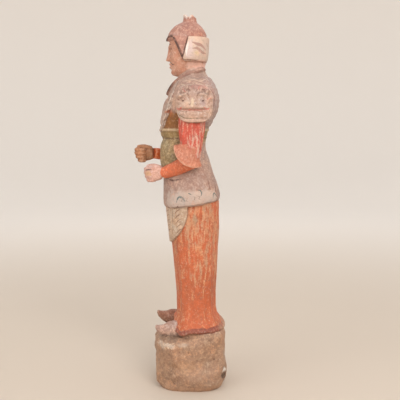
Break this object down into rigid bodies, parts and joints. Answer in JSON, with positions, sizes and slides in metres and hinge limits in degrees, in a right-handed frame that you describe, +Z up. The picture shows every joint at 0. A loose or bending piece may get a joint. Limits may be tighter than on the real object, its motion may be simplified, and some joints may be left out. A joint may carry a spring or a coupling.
{
  "type": "pottery figure",
  "caption": "Painted earthenware standing soldier in armour and helmet, lion-mask shoulder guards, fists held forward, on a rocky base",
  "frame": {"origin": "middle of the base's flat underside", "axes": "+Z up through the helmet, the figure faces -Y, its left side is at +X"},
  "size_m": [0.2098, 0.184, 0.7197],
  "materials": {
    "painted_clay": "matt, worn mineral paint over fired clay"
  },
  "bodies": {
    "root": {"warrior_figure": "painted_clay"}
  },
  "joints": []
}
